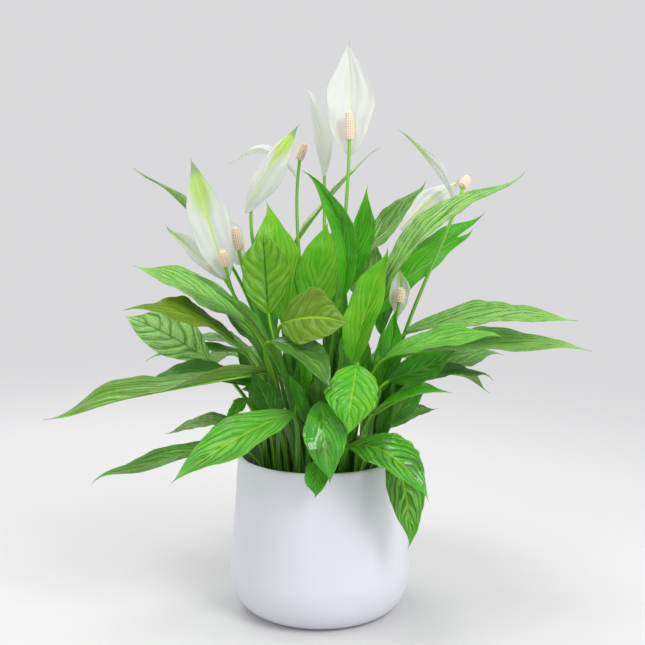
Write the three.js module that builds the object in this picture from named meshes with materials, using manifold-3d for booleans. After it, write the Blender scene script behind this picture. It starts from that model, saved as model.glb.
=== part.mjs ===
// A peace lily in its pot: long arching leaves and white hooded flowers that rise
// from soil in a plastic growing pot, which stands inside a glazed ceramic pot.
// Millimetres, +Z up. The origin is the centre of the ceramic pot's flat underside.
import * as THREE from 'three';
import { mergeVertices } from 'three/addons/utils/BufferGeometryUtils.js';
import { ParametricGeometry } from 'three/addons/geometries/ParametricGeometry.js';
import Module from 'manifold-3d';

const wasm = await Module();
wasm.setup();

// ---- Driving dimensions ----
const GAP = 0.3; // clear space kept between pieces that touch

const POT_HEIGHT = 148;
const POT_RIM_RADIUS = 77;
const POT_BELLY_RADIUS = 85; // widest, near the bottom
const POT_BELLY_HEIGHT = 40;
const POT_FOOT_RADIUS = 59;
const POT_WALL = 4.5;
const POT_FLOOR = 7; // thickness of the floor
const POT_LIP = 1.5; // height of the softened rim edge
const POT_SIDES = 40;

const LINER_HEIGHT = 124; // the growing pot, from its own underside
const LINER_RIM_RADIUS = 69;
const LINER_FOOT_RADIUS = 50;
const LINER_WALL = 1.5;
const LINER_LIP = 2.5; // how far the rim stands out from the wall
const LINER_LIP_HEIGHT = 5;
const LINER_SIDES = 32;
const DRAIN_HOLES = 6;
const DRAIN_RADIUS = 5;
const DRAIN_RING = 32;

const SOIL_TOP = 122; // height of the soil above the table, at its edge
const SOIL_MOUND = 3; // extra height in the middle
const PLANT_DEPTH = 12; // how far a stem goes into the soil

const PETIOLE_RADIUS = 2.2;
const STALK_RADIUS = 1.7;
const BLADE_THICKNESS = 1.3;
const SPATHE_THICKNESS = 1.1;
const SPADIX_RADIUS = 4.6;
const HOOD_DROP = 14; // how far below the spadix the hood grows from the stalk
const SOIL_SHOULDER = 45; // radius inside which the soil is level
const PETIOLE_OVERLAP = 0.06; // share of the midrib that the petiole runs on into the blade

// How finely the stems and blades are faceted
const STEM_SIDES = 6;
const STEM_STEPS = 7;
const STALK_STEPS = 9;
const SPADIX_SIDES = 8;
const BLADE_STEPS = 9;

const UPRIGHT = new THREE.Vector3(0, 0, 1);

// ---- Solids ----
// A closed geometry as a manifold solid: shared corners merged, faces of no area dropped.
function solidOf(geometry) {
  const shell = geometry.clone();
  for (const name of ['normal', 'uv']) shell.deleteAttribute(name);
  const merged = mergeVertices(shell, 1e-3);
  const corners = merged.index.array;
  const triVerts = [];
  for (let i = 0; i < corners.length; i += 3) {
    const [a, b, c] = corners.slice(i, i + 3);
    if (a !== b && b !== c && c !== a) triVerts.push(a, b, c);
  }
  const vertProperties = merged.attributes.position.array;
  return new wasm.Manifold(
    new wasm.Mesh({ numProp: 3, vertProperties, triVerts: new Uint32Array(triVerts) }),
  );
}

function geometryOf(solid) {
  const { numProp, vertProperties, triVerts } = solid.getMesh();
  const positions = new THREE.InterleavedBuffer(vertProperties, numProp);
  const geometry = new THREE.BufferGeometry();
  geometry.setAttribute('position', new THREE.InterleavedBufferAttribute(positions, 3, 0));
  geometry.setIndex(new THREE.BufferAttribute(triVerts, 1));
  const flat = geometry.toNonIndexed();
  flat.computeVertexNormals();
  return flat;
}

const point = (corner) => new THREE.Vector3(...corner);

// Turns a profile of [radius, height] pairs round +Z.
function turned(profile, sides) {
  const points = profile.map(([radius, height]) => new THREE.Vector2(radius, height));
  return new THREE.LatheGeometry(points, sides).rotateX(Math.PI / 2);
}

// A round rod of that radius along a curve.
function rod(curve, radius, sides, steps) {
  const section = new THREE.Shape();
  for (let i = 0; i < sides; i++) {
    const turn = (2 * Math.PI * i) / sides;
    const move = i ? 'lineTo' : 'moveTo';
    section[move](radius * Math.cos(turn), radius * Math.sin(turn));
  }
  return new THREE.ExtrudeGeometry(section, { extrudePath: curve, steps, bevelEnabled: false });
}

// ---- The ceramic pot ----
// Radius of the outer wall at a height: a rounded foot up to the belly, then a taper to the rim.
function potRadius(height) {
  if (height >= POT_BELLY_HEIGHT) {
    const rise = (height - POT_BELLY_HEIGHT) / (POT_HEIGHT - POT_BELLY_HEIGHT);
    return POT_BELLY_RADIUS - (POT_BELLY_RADIUS - POT_RIM_RADIUS) * rise ** 0.9;
  }
  const drop = (1 - height / POT_BELLY_HEIGHT) ** 1.1;
  return POT_FOOT_RADIUS + (POT_BELLY_RADIUS - POT_FOOT_RADIUS) * Math.sqrt(1 - drop * drop) ** 0.9;
}

// The outer wall up from the foot, over the rim, down inside and across the floor.
function ceramicPot() {
  const lipHeight = POT_HEIGHT - POT_LIP;
  const outer = [1, 4, 9, 16, 26, POT_BELLY_HEIGHT, 75, 112, lipHeight];
  const inner = [lipHeight, 110, 75, POT_BELLY_HEIGHT, 24, 14];
  return turned(
    [
      [0, 0],
      [POT_FOOT_RADIUS, 0],
      ...outer.map((height) => [potRadius(height), height]),
      [POT_RIM_RADIUS - POT_WALL / 2, POT_HEIGHT],
      ...inner.map((height) => [potRadius(height) - POT_WALL, height]),
      [POT_FOOT_RADIUS, POT_FLOOR],
      [0, POT_FLOOR],
    ],
    POT_SIDES,
  );
}

// ---- The growing pot ----
const LINER_BASE = POT_FLOOR + GAP;
const LINER_TOP = LINER_BASE + LINER_HEIGHT;

// Radius of the growing pot's inner wall at a height above the table.
function linerInside(height) {
  const rise = (height - LINER_BASE) / LINER_HEIGHT;
  return LINER_FOOT_RADIUS + (LINER_RIM_RADIUS - LINER_FOOT_RADIUS) * rise - LINER_WALL;
}

function growingPot() {
  const lipBottom = LINER_TOP - LINER_LIP_HEIGHT;
  const inside = LINER_RIM_RADIUS - LINER_WALL;
  const wall = turned(
    [
      [0, LINER_BASE],
      [LINER_FOOT_RADIUS, LINER_BASE],
      [linerInside(lipBottom) + LINER_WALL, lipBottom],
      [inside + LINER_LIP, lipBottom],
      [inside + LINER_LIP, LINER_TOP],
      [inside, LINER_TOP],
      [linerInside(LINER_BASE + LINER_WALL), LINER_BASE + LINER_WALL],
      [0, LINER_BASE + LINER_WALL],
    ],
    LINER_SIDES,
  );
  let pot = solidOf(wall);
  for (let i = 0; i < DRAIN_HOLES; i++) {
    const turn = (2 * Math.PI * i) / DRAIN_HOLES;
    const drill = new THREE.CylinderGeometry(DRAIN_RADIUS, DRAIN_RADIUS, 4 * LINER_WALL, 8)
      .rotateX(Math.PI / 2)
      .translate(DRAIN_RING * Math.cos(turn), DRAIN_RING * Math.sin(turn), LINER_BASE);
    pot = pot.subtract(solidOf(drill));
  }
  return geometryOf(pot);
}

// ---- Stems ----
// A stem leaves the soil upright at its foot and arrives at its end along a given direction.
function stemCurve([x, y], end, arriving, deeper = 0) {
  const start = new THREE.Vector3(x, y, SOIL_TOP - PLANT_DEPTH - deeper);
  const length = start.distanceTo(end);
  const lift = start.clone().addScaledVector(UPRIGHT, 0.45 * length);
  const approach = end.clone().addScaledVector(arriving, -0.25 * length);
  return new THREE.CubicBezierCurve3(start, lift, approach, end);
}

// ---- Blades ----
const radians = THREE.MathUtils.degToRad;

// Directions of a blade: side to the right of the line from base to tip, face out of its upper
// side. look turns the upper side to an azimuth and elevation in degrees. Without it the upper
// side looks up and back over the base, and leans to the right by roll degrees.
function bladeFrame(base, tip, { roll = 0, look }) {
  const ahead = tip.clone().sub(base).normalize();
  const wanted = new THREE.Vector3(-0.4 * ahead.x, -0.4 * ahead.y, 1);
  if (look) {
    const [azimuth, elevation] = look.map(radians);
    wanted.set(Math.cos(azimuth), Math.sin(azimuth), Math.tan(elevation));
  }
  const side = ahead.clone().cross(wanted).normalize();
  side.applyAxisAngle(ahead, radians(roll));
  return { side, face: side.clone().cross(ahead) };
}

// The midrib: a quadratic arc that rises bow out of the chord's upper side and swings sway right.
function midrib(base, tip, { bow = 0, sway = 0 }, { side, face }) {
  const pull = base.clone().lerp(tip, 0.5);
  pull.addScaledVector(face, 2 * bow).addScaledVector(side, 2 * sway);
  return new THREE.QuadraticBezierCurve3(base, pull, tip);
}

// Half width of a blade along its midrib, as a share of its greatest half width.
const outline = (along) => (along ** 0.6 * (1 - along ** 3) ** 1.9) / 0.517;

// A thin closed blade round its midrib: a four-cornered section, folded up by fold degrees and
// twisted by twist degrees from base to tip, that closes to a point at both ends.
function blade(rib, side, { width, fold = 0, twist = 0 }, thickness) {
  const rise = radians(fold);
  const place = (along, around, target) => {
    const ahead = rib.getTangent(along);
    const across = side.clone().addScaledVector(ahead, -ahead.dot(side)).normalize();
    across.applyAxisAngle(ahead, radians(twist) * (along - 0.5));
    const out = across.clone().cross(ahead);
    const corner = Math.round(around * 4) % 4;
    const closing = Math.sqrt(Math.max(0, Math.sin(Math.PI * along)));
    const reach = [1, 0, -1, 0][corner] * outline(along) * (width / 2);
    const skin = [0, 1, 0, -1][corner] * closing * (thickness / 2);
    target.copy(rib.getPoint(along));
    target.addScaledVector(across, reach * Math.cos(rise));
    target.addScaledVector(out, Math.abs(reach) * Math.sin(rise) + skin);
  };
  return new ParametricGeometry(place, BLADE_STEPS, 4);
}

// ---- Leaves ----
// Each leaf: its foot on the soil; the base and the tip of its blade; then the blade's width, the
// bow and sway of its midrib, its fold, roll and twist in degrees, and where its upper side looks.
const LEAVES = [
  // Spreading to the left
  [[-40, -22], [-46, -32, 232], [-231, -114, 206], { width: 58, bow: 3, fold: 22, twist: -50 }],
  [[-42, 6], [-58, 10, 208], [-170, -28, 212], { width: 42, bow: 14, fold: 15, roll: -20 }],
  [[-48, -14], [-82, -30, 166], [-198, -90, 142], { width: 24, bow: 4, fold: 12, roll: -22 }],
  [[-22, -46], [-24, -50, 198], [-124, -126, 154], { width: 46, bow: 7, fold: 10, roll: -22 }],
  [[-36, -6], [-78, -14, 256], [-172, -58, 290], { width: 42, bow: 12, fold: 12, roll: -24 }],
  [[-46, 20], [-106, 30, 230], [-192, 66, 268], { width: 46, bow: 8, fold: 8, roll: -45 }],
  [[-30, -2], [-70, -2, 273], [-166, -34, 327], { width: 44, bow: 6, fold: 12, roll: -34 }],
  [[-22, -14], [-32, -14, 221], [-122, -50, 324], { width: 36, bow: 14, fold: 15, roll: -15 }],
  [[-24, 10], [-36, 18, 217], [-102, 14, 291], { width: 32, bow: 8, fold: 12, roll: -35 }],
  [[-36, 44], [-95, 72, 330], [-186, 100, 412], { width: 30, bow: 8, fold: 15, look: [0, 48] }],
  // Upright in the middle
  [[-18, -32], [-44, -54, 263], [12, -95, 225], { width: 40, bow: 12, fold: 15, roll: 10 }],
  [[-8, -30], [-33, -50, 278], [28, -70, 282], { width: 52, bow: 12, fold: 10, roll: 62 }],
  [[-12, -6], [-48, 0, 279], [-54, 30, 357], { width: 46, bow: 4, fold: 12, look: [-90, 15] }],
  [[-8, 14], [-34, 24, 268], [-52, 54, 381], { width: 46, bow: 6, fold: 12, look: [-80, 15] }],
  [[4, -14], [18, -24, 294], [-18, -58, 412], { width: 26, sway: 20, fold: 38, look: [-90, 15] }],
  [[0, 26], [-8, 24, 272], [8, 46, 362], { width: 44, bow: 4, fold: 10, look: [-95, 15] }],
  [[14, -4], [22, 4, 300], [44, 2, 398], { width: 28, bow: 6, fold: 25, look: [-60, 15] }],
  [[-20, 52], [-32, 92, 328], [62, 138, 432], { width: 26, bow: 6, fold: 10, look: [180, 45] }],
  [[20, 24], [33, 52, 325], [104, 82, 401], { width: 30, bow: -4, fold: 15, roll: 30 }],
  [[18, 36], [42, 64, 284], [36, 102, 354], { width: 46, bow: 6, fold: 8, look: [-80, 20] }],
  [[12, -26], [27, -40, 236], [61, -16, 344], { width: 38, bow: 4, fold: 34, look: [-110, 10] }],
  // Spreading to the right
  [[26, -12], [42, -8, 276], [181, -30, 410], { width: 46, bow: 22, fold: 15, roll: 25 }],
  [[30, 10], [43, 22, 268], [148, 56, 357], { width: 28, bow: 13, fold: 12, roll: 45 }],
  [[46, -4], [78, -8, 264], [230, -38, 278], { width: 48, bow: 9, fold: 12, roll: 18 }],
  [[38, -22], [58, -40, 246], [158, -82, 269], { width: 38, bow: 8, fold: 12, roll: 25 }],
  [[48, 8], [76, 8, 240], [244, -38, 250], { width: 44, bow: 10, fold: 12, roll: 20 }],
  [[48, 26], [94, 32, 208], [178, 46, 232], { width: 38, bow: 8, fold: 12, roll: 15 }],
  [[32, -34], [48, -40, 194], [114, -84, 222], { width: 34, bow: 8, fold: 12, roll: 12 }],
  // Hanging over the front of the rim
  [[20, -46], [24, -62, 170], [92, -112, 134], { width: 50, bow: 20, fold: 8, roll: 15 }],
  [[42, -36], [60, -58, 171], [76, -88, 84], { width: 33, bow: 8, sway: -6, fold: 8, look: [-80, 20] }],
  [[18, -36], [32, -70, 244], [22, -106, 190], { width: 46, bow: 6, fold: 8, look: [-90, 35] }],
  [[2, -50], [0, -72, 212], [8, -102, 146], { width: 36, bow: 12, fold: 12, look: [-90, 35] }],
  // Spreading to the back
  [[-46, 32], [-64, 92, 214], [-124, 176, 190], { width: 46, bow: 16, fold: 12 }],
  [[-8, 54], [-14, 88, 258], [-34, 190, 262], { width: 48, bow: 20, fold: 12 }],
  [[28, 48], [52, 84, 212], [112, 160, 192], { width: 46, bow: 16, fold: 12 }],
  [[6, 52], [20, 84, 300], [46, 166, 356], { width: 44, bow: 14, fold: 12 }],
  [[44, 36], [84, 64, 200], [176, 116, 180], { width: 42, bow: 16, fold: 12 }],
];

// A leaf is one piece: its stalk, the petiole, runs a little way on into the blade.
function leaf([foot, basePoint, tipPoint, shape]) {
  const base = point(basePoint);
  const tip = point(tipPoint);
  const frame = bladeFrame(base, tip, shape);
  const rib = midrib(base, tip, shape, frame);
  const joint = rib.getPoint(PETIOLE_OVERLAP);
  const arriving = rib.getTangent(PETIOLE_OVERLAP);
  const petiole = rod(stemCurve(foot, joint, arriving), PETIOLE_RADIUS, STEM_SIDES, STEM_STEPS);
  const hole = stemCurve(foot, joint, arriving, GAP);
  stemHoles.push(solidOf(rod(hole, PETIOLE_RADIUS + GAP, STEM_SIDES, STEM_STEPS)));
  const thinBlade = blade(rib, frame.side, shape, BLADE_THICKNESS);
  return geometryOf(solidOf(petiole).add(solidOf(thinBlade)));
}

// ---- Flowers ----
// Each flower: its foot on the soil; the base and the tip of its spadix; the tip of its hood; then
// the hood's width, bow, sway and fold, and where its inner side looks.
const FLOWERS = [
  [[6, 12], [27, 16, 438], [26, 16, 465], [28, 24, 529],
    { width: 46, bow: -8, fold: 15, look: [-90, 10] }],
  [[4, 44], [4, 62, 418], [4, 66, 446], [-14, 60, 489],
    { width: 22, bow: -8, sway: -8, fold: 38, look: [80, 10] }],
  [[-4, 36], [-21, 80, 420], [-15, 80, 436], [-91, 86, 415],
    { width: 28, bow: 18, fold: 25, look: [-20, 70] }],
  [[-22, 38], [-68, 60, 382], [-57, 68, 405], [-19, 52, 455],
    { width: 34, bow: -8, fold: 35, look: [60, 10] }],
  [[-30, 24], [-89, 30, 321], [-92, 24, 336], [-121, 24, 423],
    { width: 40, bow: -6, fold: 15, look: [-80, 15] }],
  [[-24, 30], [-78, 52, 334], [-82, 50, 357], [-102, 56, 376],
    { width: 34, bow: -6, fold: 20, look: [-70, 15] }],
  [[-38, 34], [-96, 48, 317], [-108, 46, 322], [-148, 46, 360],
    { width: 22, bow: -4, fold: 30, look: [-60, 10] }],
  [[28, 30], [86, 46, 364], [106, 50, 371], [132, 40, 404],
    { width: 40, bow: -5, fold: 30, look: [62, -20] }],
  [[54, 17], [132, 26, 395], [139, 35, 404], [72, 28, 448],
    { width: 18, bow: 5, fold: 38, look: [20, 40] }],
  [[36, 26], [73, 6, 289], [75, 6, 303], [76, 8, 324],
    { width: 22, bow: -6, fold: 30, look: [-90, 5] }],
];

// Share of the spadix's length and of its radius, from its blunt base to its rounded tip.
const SPADIX_PROFILE = [[0, 0], [0.8, 0.04], [1, 0.3], [0.95, 0.65], [0.6, 0.94], [0, 1]];

// The path of a flower's stalk and the direction of the spadix on its end.
function flowerAxis([foot, spadixBase, spadixTip], deeper = 0) {
  const bottom = point(spadixBase);
  const spadix = point(spadixTip).sub(bottom);
  const length = spadix.length();
  const ahead = spadix.normalize();
  const end = bottom.clone().addScaledVector(ahead, length / 3);
  const rising = ahead.clone().add(UPRIGHT).normalize();
  return { bottom, ahead, rising, length, path: stemCurve(foot, end, rising, deeper) };
}

// The stalk and the blunt spike of tiny florets on its end, which are one piece.
function flowerStalk(flower) {
  const { bottom, ahead, length, path } = flowerAxis(flower);
  const stalk = solidOf(rod(path, STALK_RADIUS, STEM_SIDES, STALK_STEPS));
  const hole = flowerAxis(flower, GAP).path;
  stemHoles.push(solidOf(rod(hole, STALK_RADIUS + GAP, STEM_SIDES, STALK_STEPS)));
  const profile = SPADIX_PROFILE.map(([out, along]) => [out * SPADIX_RADIUS, along * length]);
  const spadix = turned(profile, SPADIX_SIDES)
    .applyQuaternion(new THREE.Quaternion().setFromUnitVectors(UPRIGHT, ahead))
    .translate(...bottom);
  return geometryOf(stalk.add(solidOf(spadix)));
}

// The hood grows from the stalk a little below the spadix and stands clear of both.
function flowerHood(flower) {
  const { bottom, rising } = flowerAxis(flower);
  const [, , , tipPoint, shape] = flower;
  const neck = bottom.clone().addScaledVector(rising, -HOOD_DROP);
  const tip = point(tipPoint);
  const { face } = bladeFrame(neck, tip, shape);
  const clear = (STALK_RADIUS + SPATHE_THICKNESS + GAP) / Math.cos(radians(shape.fold));
  const base = neck.addScaledVector(face, -clear);
  const frame = bladeFrame(base, tip, shape);
  const rib = midrib(base, tip, shape, frame);
  return geometryOf(solidOf(blade(rib, frame.side, shape, SPATHE_THICKNESS)));
}

// ---- Soil ----
// A mound that fills the growing pot to SOIL_TOP, with a hole for each stem.
function soil(holes) {
  const bottom = LINER_BASE + LINER_WALL + GAP;
  const mound = turned(
    [
      [0, bottom],
      [linerInside(bottom) - GAP, bottom],
      [linerInside(SOIL_TOP) - GAP, SOIL_TOP],
      [SOIL_SHOULDER, SOIL_TOP + SOIL_MOUND],
      [0, SOIL_TOP + SOIL_MOUND],
    ],
    LINER_SIDES,
  );
  return geometryOf(solidOf(mound).subtract(wasm.Manifold.union(holes)));
}

// ---- The whole plant ----
const CERAMIC = { color: 0xe9e9ee, roughness: 0.45 };
const PLASTIC = { color: 0x9a9d9c, roughness: 0.6 };
const EARTH = { color: 0x3b2a1d, roughness: 0.95 };
const LEAF_GREEN = { color: 0x2f9a2a, roughness: 0.4 };
const STALK_GREEN = { color: 0x7ab53a, roughness: 0.5 };
const HOOD_WHITE = { color: 0xf4f5ee, roughness: 0.5 };

const part = new THREE.Group();
function addPiece(name, geometry, finish) {
  const mesh = new THREE.Mesh(geometry, new THREE.MeshStandardMaterial(finish));
  mesh.name = name;
  part.add(mesh);
}

const stemHoles = []; // each stem adds the hole it needs, before the soil is made
const twoDigits = (index) => String(index + 1).padStart(2, '0');
addPiece('ceramic_pot', ceramicPot(), CERAMIC);
addPiece('growing_pot', growingPot(), PLASTIC);
LEAVES.forEach((row, i) => addPiece(`leaf_${twoDigits(i)}`, leaf(row), LEAF_GREEN));
FLOWERS.forEach((row, i) => {
  addPiece(`flower_stalk_${twoDigits(i)}`, flowerStalk(row), STALK_GREEN);
  addPiece(`flower_hood_${twoDigits(i)}`, flowerHood(row), HOOD_WHITE);
});
addPiece('soil', soil(stemHoles), EARTH);

export default part;
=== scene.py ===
# %% [markdown]
# # A peace lily in its pot
#
# The real object is a house plant: long glossy leaves on thin stalks, white hooded flowers, soil,
# and a white ceramic pot. Plain solids of its main pieces already exist and are exact in size and
# place. They are loaded first, as a frame. Most later steps then make one kind of piece with its
# fine surface and finish, in the place of its plain solid.

# %% Load the frame
import math

import bpy
import numpy as np
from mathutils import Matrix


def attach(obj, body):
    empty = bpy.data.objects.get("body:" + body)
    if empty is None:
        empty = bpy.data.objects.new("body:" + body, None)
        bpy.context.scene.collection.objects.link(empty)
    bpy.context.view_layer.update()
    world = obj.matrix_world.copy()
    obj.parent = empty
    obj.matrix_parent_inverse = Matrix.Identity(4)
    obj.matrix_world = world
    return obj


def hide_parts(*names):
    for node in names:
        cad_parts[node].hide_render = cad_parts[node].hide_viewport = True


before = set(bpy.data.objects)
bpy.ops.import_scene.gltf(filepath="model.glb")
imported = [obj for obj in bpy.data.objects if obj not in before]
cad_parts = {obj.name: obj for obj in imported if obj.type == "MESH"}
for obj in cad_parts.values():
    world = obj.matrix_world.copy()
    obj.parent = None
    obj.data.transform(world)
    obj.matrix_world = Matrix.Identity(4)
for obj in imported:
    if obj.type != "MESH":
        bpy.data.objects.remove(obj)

MM = 0.001
TURN = 2 * math.pi
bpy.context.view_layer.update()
print("nodes in the frame:", len(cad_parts))

# %% [markdown]
# ## Camera
#
# A portrait lens a metre in front of the pot, a little above the leaves and tipped down to them,
# shows the rim as a thin ellipse and keeps the pot's sides almost upright. A wider lens from
# nearer would bend the outer leaves away, so the distance matters more than the lens.

# %% Camera
camera_data = bpy.data.cameras.new("camera")
camera_data.sensor_width = 36
camera_data.lens = 62.79
camera = bpy.data.objects.new("camera", camera_data)
camera.location = (0.0022, -1.0300, 0.4222)
camera.rotation_euler = (math.radians(81.65), 0, 0)
bpy.context.scene.collection.objects.link(camera)
bpy.context.scene.camera = camera
bpy.context.scene.view_settings.view_transform = "Standard"
print("camera distance from the pot's axis:", -camera.location.y)

# %% [markdown]
# ## Light
#
# A plant in a bright room is lit from all sides, with one large window as the main light. An even
# pale world stands in for the room, and it also fills the shade between the leaves. A soft panel
# at the upper right is the window: it draws the highlights along the leaves and the soft leaf
# shadows on the pot. One overhead adds the sky, two faint ones lift the sides, and one behind
# lets light through the thin hoods.

# %% Light
ROOM = (0.755, 0.750, 0.765, 1)
world = bpy.data.worlds.new("room")
world.use_nodes = True
background = world.node_tree.nodes["Background"].inputs
background["Color"].default_value = ROOM
background["Strength"].default_value = 0.93
bpy.context.scene.world = world


def panel(name, place, aim, size, power):
    """A square light of this size in metres and power in watts, turned to look at its aim."""
    data = bpy.data.lights.new(name, "AREA")
    data.size = size
    data.energy = power
    light = bpy.data.objects.new(name, data)
    light.location = place
    look = np.subtract(aim, place)
    flat = math.hypot(look[0], look[1])
    light.rotation_euler = (math.atan2(flat, -look[2]), 0, math.atan2(-look[0], look[1]))
    bpy.context.scene.collection.objects.link(light)


panel("window", (0.85, -1.0, 1.30), (0, 0, 0.2), 0.6, 12)
panel("skylight", (-0.25, -0.25, 1.75), (0, 0, 0.2), 0.6, 8)
panel("right_fill", (1.2, -0.6, 0.35), (0, 0, 0.1), 0.7, 3.0)
panel("left_fill", (-1.2, -1.0, 0.7), (0, 0, 0.2), 0.9, 3.5)
panel("back_fill", (-0.7, 0.9, 1.3), (0, 0, 0.3), 0.9, 9)

# %% [markdown]
# ## Shader maths
#
# A finish is worked out from numbers that change over the surface: how far along the leaf, how far
# from the midrib, how much noise. Blender adds such numbers with Math nodes, which are slow to
# read in a long list. The class below wraps one output socket, so that a plain Python expression
# puts in the nodes. Almost every other node comes from one method of the second class.

# %% Values and finishes


def connect(tree, value, socket):
    """Links a Value to a socket, or sets a plain number or colour on it."""
    if isinstance(value, Value):
        tree.links.new(value.socket, socket)
    else:
        socket.default_value = value


class Value:
    """An output socket whose number changes over the surface."""

    def __init__(self, tree, socket):
        self.tree, self.socket = tree, socket

    def math(self, operation, *operands):
        """One Math node on these operands, in this order."""
        node = self.tree.nodes.new("ShaderNodeMath")
        node.operation = operation
        for operand, socket in zip(operands, node.inputs):
            connect(self.tree, operand, socket)
        return Value(self.tree, node.outputs[0])

    def __add__(self, other):
        return self.math("ADD", self, other)

    def __sub__(self, other):
        return self.math("SUBTRACT", self, other)

    def __rsub__(self, other):
        return self.math("SUBTRACT", other, self)

    def __mul__(self, other):
        return self.math("MULTIPLY", self, other)

    def __pow__(self, other):
        return self.math("POWER", self, other)

    def __abs__(self):
        return self.math("ABSOLUTE", self)

    def wave(self):
        """A cosine of this many turns, from 0 to 1, with its crest at each whole turn."""
        return self.math("COSINE", self * TURN) * 0.5 + 0.5

    def step(self, low, high):
        """0 below low, 1 above high and a smooth rise between."""
        node = self.tree.nodes.new("ShaderNodeMapRange")
        node.interpolation_type = "SMOOTHSTEP"
        for name, value in (("Value", self), ("From Min", low), ("From Max", high)):
            connect(self.tree, value, node.inputs[name])
        return Value(self.tree, node.outputs["Result"])

    __radd__ = __add__
    __rmul__ = __mul__


class Finish:
    """A material being made. node() puts in any node: its type, the output wanted, its settings,
    then the values or links of its sockets."""

    def __init__(self, name):
        self.material = bpy.data.materials.new(name)
        self.material.use_nodes = True
        self.tree = self.material.node_tree
        self.tree.nodes.clear()

    def node(self, kind, output, settings, values):
        node = self.tree.nodes.new(kind)
        for name, value in settings.items():
            setattr(node, name, value)
        for name, value in values.items():
            found = [s for s in node.inputs if name in (s.identifier, s.name)]
            connect(self.tree, value, found[0])
        outputs = [s for s in node.outputs if output in (s.identifier, s.name)]
        return Value(self.tree, outputs[0])

    def blend(self, factor, first, second):
        """A colour that goes from first to second as the factor goes from 0 to 1."""
        values = {"Factor_Float": factor, "A_Color": first, "B_Color": second}
        return self.node("ShaderNodeMix", "Result_Color", {"data_type": "RGBA"}, values)

    def place(self):
        """Where the point lies in the object's own coordinates, in metres."""
        return self.node("ShaderNodeTexCoord", "Object", {}, {})

    def cloudy(self, place, scale, detail):
        values = {"Vector": place, "Scale": scale, "Detail": detail}
        return self.node("ShaderNodeTexNoise", "Fac", {}, values)

    def noise(self, size, detail=2.0, stretch=(1, 1, 1)):
        """Cloudy noise with spots about size metres across, finer along a stretch over 1."""
        values = {"Vector": self.place(), "Scale": stretch}
        return self.cloudy(self.node("ShaderNodeMapping", "Vector", {}, values), 1 / size, detail)

    def streaks(self, x, y, z):
        """Cloudy noise in coordinates of the piece's own, so that it follows the piece's shape."""
        place = self.node("ShaderNodeCombineXYZ", "Vector", {}, {"X": x, "Y": y, "Z": z})
        return self.cloudy(place, 1, 3)

    def cells(self, size):
        """Distance to the border of an irregular net, whose cells are about size metres across."""
        settings = {"feature": "DISTANCE_TO_EDGE"}
        values = {"Vector": self.place(), "Scale": 1 / size}
        return self.node("ShaderNodeTexVoronoi", "Distance", settings, values)

    def chart(self, name):
        """One axis, X or Y, of the piece's own UV map."""
        place = self.node("ShaderNodeUVMap", "UV", {"uv_map": "chart"}, {})
        return self.node("ShaderNodeSeparateXYZ", name, {}, {"Vector": place})

    def attribute(self, name):
        """A number that the mesh carries."""
        settings = {"attribute_name": name, "attribute_type": "GEOMETRY"}
        return self.node("ShaderNodeAttribute", "Fac", settings, {})

    def bump(self, height, distance, strength):
        """A normal tilted as if the surface rose by the distance, in metres, at height 1."""
        values = {"Height": height, "Distance": distance, "Strength": strength}
        return self.node("ShaderNodeBump", "Normal", {}, values)

    def mixed(self, share, first, second):
        """A shader that goes from first to second as the share goes from 0 to 1."""
        mixer = self.tree.nodes.new("ShaderNodeMixShader")
        for value, socket in zip((share, first, second), mixer.inputs):
            connect(self.tree, value, socket)
        return Value(self.tree, mixer.outputs[0])

    def end(self, shader):
        """Ends the material with this shader."""
        end = self.tree.nodes.new("ShaderNodeOutputMaterial")
        connect(self.tree, shader, end.inputs["Surface"])
        return self.material

    def output(self, surface, through=None, share=0.0):
        """Ends the material with a main shader. A share of it lets light of one colour through."""
        shader = self.node("ShaderNodeBsdfPrincipled", "BSDF", {}, surface)
        if through:
            glow = self.node("ShaderNodeBsdfTranslucent", "BSDF", {}, {"Color": through})
            shader = self.mixed(share, shader, glow)
        return self.end(shader)


print("shader helpers ready")

# %% [markdown]
# ## Leaf finishes
#
# The upper side of a leaf is a waxy green. Side veins leave the midrib at a low angle and bend
# towards the tip, and the leaf is darker along them: partly their own deeper green, partly painted
# shade in the grooves that they lie in. Between them lie pale streaks, broken up by a fine net of
# green, which are strong on some leaves and almost missing on others. These streaks and the pale
# flecks in them are painted sheen, the bright room reflected in the wax. The underside is paler
# and duller. The mesh carries a map of how far along and across each point lies, and at each
# point the count of side veins up to there. So the veins, the pleats and the streaks follow the
# leaf together, however it bends. Veins a hair's width apart would only sparkle, so they fade out
# before the tip. Each leaf also carries looks of its own, which the table of leaves explains. A
# leaf is thin, so a share of the light comes through it as a warm green glow.

# %% Leaf finishes
DEEP = (0.002, 0.120, 0.001, 1)
VIVID = (0.036, 0.430, 0.001, 1)
FRESH = (0.250, 0.600, 0.010, 1)
# painted sheen: the pale green of the bright room reflected in the leaf's wax
PAINTED_SHEEN = (0.580, 0.780, 0.330, 1)
OLIVE = (0.150, 0.240, 0.008, 1)
MARGIN = (0.260, 0.440, 0.020, 1)
UNDERSIDE = (0.230, 0.420, 0.070, 1)
MIDRIB_GREEN = (0.350, 0.620, 0.030, 1)
DRY = (0.160, 0.110, 0.040, 1)
LEAF_GLOW = (0.30, 0.72, 0.006, 1)
CLOUD, FLECK, NET_CELL = 0.024, 0.0014, 0.0015  # metres across


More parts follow.
